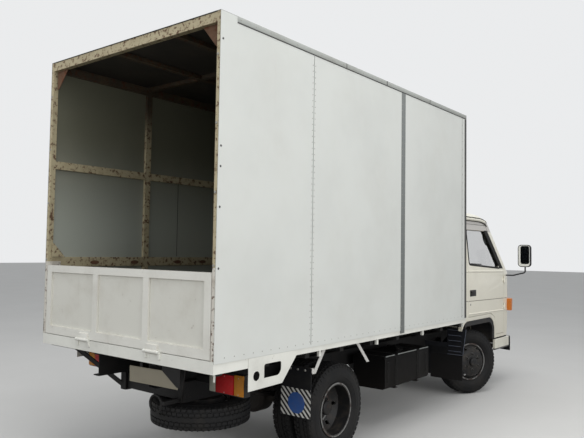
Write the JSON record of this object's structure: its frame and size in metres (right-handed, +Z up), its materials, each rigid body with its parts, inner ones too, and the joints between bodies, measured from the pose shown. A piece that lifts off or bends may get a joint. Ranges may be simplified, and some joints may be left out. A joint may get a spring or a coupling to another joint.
{
  "type": "cab-over box truck",
  "caption": "Light cab-over truck with a tilting cab, hinged doors, a hollow box body with a drop tailgate, steered front wheels and twin rear wheels.",
  "frame": {"origin": "middle of the whole vehicle's plan box, on the ground under the tyres", "axes": "+X to the vehicle's left, +Y to the vehicle's rear, +Z up"},
  "size_m": [2.32, 5.684, 3.185],
  "materials": {
    "frame_paint": "dull black chassis paint",
    "cast_iron": "grimy cast iron",
    "spring_steel": "dark worn spring steel",
    "exhaust_steel": "heat-stained steel",
    "tank_paint": "scuffed black-grey paint",
    "tyre_rubber": "worn black rubber",
    "rim_paint": "scuffed dark grey paint",
    "bearer_paint": "dark underbody paint",
    "floor_wood": "worn dark load floor",
    "sill_white": "chalky white paint",
    "frame_beige": "faded beige paint with rust",
    "box_white": "light grey-white skin",
    "roof_skin": "grey-white roof skin",
    "cab_cream": "cream paint",
    "cab_glass": "dark clear glass",
    "black_plastic": "dull black",
    "trim_grey": "dark grey trim",
    "seat_fabric": "dark grey cloth",
    "lamp_red": "red lens",
    "lamp_clear": "clear lens",
    "flap_rubber": "black rubber",
    "bumper_grey": "dark grey"
  },
  "bodies": {
    "chassis": {"frame_rail_left": "frame_paint", "frame_rail_right": "frame_paint", "cross_members": "frame_paint", "front_axle": "cast_iron", "leaf_springs": "spring_steel", "rear_axle": "cast_iron", "engine_block": "cast_iron", "gearbox": "cast_iron", "propeller_shaft": "frame_paint", "exhaust": "exhaust_steel", "fuel_tank": "tank_paint", "battery_box": "tank_paint", "spare_wheel": "tyre_rubber", "rear_brackets": "frame_paint", "rear_lamps": "lamp_red", "skirt_panels": "sill_white", "flap_hangers": "frame_paint", "rear_flaps": "flap_rubber", "front_guards": "trim_grey", "bumper": "cab_cream", "box_bearers": "bearer_paint", "box_floor": "floor_wood", "box_sills": "sill_white", "box_frame": "frame_beige", "box_wall_left": "box_white", "box_wall_right": "box_white", "box_front_wall": "box_white", "box_roof": "roof_skin"},
    "cab": {"cab_shell": "cab_cream", "cab_roof": "cab_cream", "cab_glass": "cab_glass", "arch_liners": "black_plastic", "grille": "black_plastic", "front_lamps": "lamp_clear", "dashboard": "trim_grey", "steering_wheel": "black_plastic", "seats": "seat_fabric", "mirrors": "black_plastic"},
    "door_right": {"door_right": "cab_cream", "door_glass_right": "cab_glass"},
    "door_left": {"door_left": "cab_cream", "door_glass_left": "cab_glass"},
    "tailgate": {"tailgate": "sill_white"},
    "knuckle_right": {"knuckle_right": "cast_iron"},
    "knuckle_left": {"knuckle_left": "cast_iron"},
    "tie_rod": {"tie_rod": "frame_paint"},
    "wheel_front_right": {"front_tyre_right": "tyre_rubber", "front_rim_right": "rim_paint"},
    "wheel_front_left": {"front_tyre_left": "tyre_rubber", "front_rim_left": "rim_paint"},
    "wheels_rear_right": {"rear_tyres_right": "tyre_rubber", "rear_rims_right": "rim_paint"},
    "wheels_rear_left": {"rear_tyres_left": "tyre_rubber", "rear_rims_left": "rim_paint"}
  },
  "joints": [
    {"name": "cab_tilt", "type": "hinge", "parent": "chassis", "child": "cab", "pos_m": [0, -2.682, 0.5], "axis": [1, 0, 0], "range_deg": [0, 45]},
    {"name": "door_right_hinge", "type": "hinge", "parent": "cab", "child": "door_right", "pos_m": [-0.854, -2.5145, 1.15], "axis": [0, 0, 1], "range_deg": [0, 65]},
    {"name": "door_left_hinge", "type": "hinge", "parent": "cab", "child": "door_left", "pos_m": [0.854, -2.5145, 1.15], "axis": [0, 0, -1], "range_deg": [0, 65]},
    {"name": "tailgate_hinge", "type": "hinge", "parent": "chassis", "child": "tailgate", "pos_m": [0, 2.83, 0.9675], "axis": [-1, 0, 0], "range_deg": [0, 180]},
    {"name": "steer_right", "type": "hinge", "parent": "chassis", "child": "knuckle_right", "pos_m": [-0.628, -1.719, 0.3775], "axis": [0, 0, 1], "range_deg": [-7.6, 60.4]},
    {"name": "steer_left", "type": "hinge", "parent": "chassis", "child": "knuckle_left", "pos_m": [0.628, -1.719, 0.3775], "axis": [0, 0, 1], "range_deg": [-7.6, 60.4]},
    {"name": "tie_rod_pivot", "type": "hinge", "parent": "knuckle_right", "child": "tie_rod", "pos_m": [-0.5702, -1.6026, 0.28], "axis": [0, 0, 1], "range_deg": [-60.4, 7.6]},
    {"name": "spin_front_right", "type": "hinge", "parent": "knuckle_right", "child": "wheel_front_right", "pos_m": [-0.628, -1.719, 0.3775], "axis": [0.8957, -0.4446, 0], "continuous": true},
    {"name": "spin_front_left", "type": "hinge", "parent": "knuckle_left", "child": "wheel_front_left", "pos_m": [0.628, -1.719, 0.3775], "axis": [0.8957, -0.4446, 0], "continuous": true},
    {"name": "spin_rear_right", "type": "hinge", "parent": "chassis", "child": "wheels_rear_right", "pos_m": [-0.686, 1.306, 0.3775], "axis": [1, 0, 0], "continuous": true},
    {"name": "spin_rear_left", "type": "hinge", "parent": "chassis", "child": "wheels_rear_left", "pos_m": [0.686, 1.306, 0.3775], "axis": [1, 0, 0], "continuous": true}
  ],
  "couplings": [
    {"joint": "steer_left", "follows": "steer_right", "ratio": 1},
    {"joint": "tie_rod_pivot", "follows": "steer_right", "ratio": -1}
  ]
}
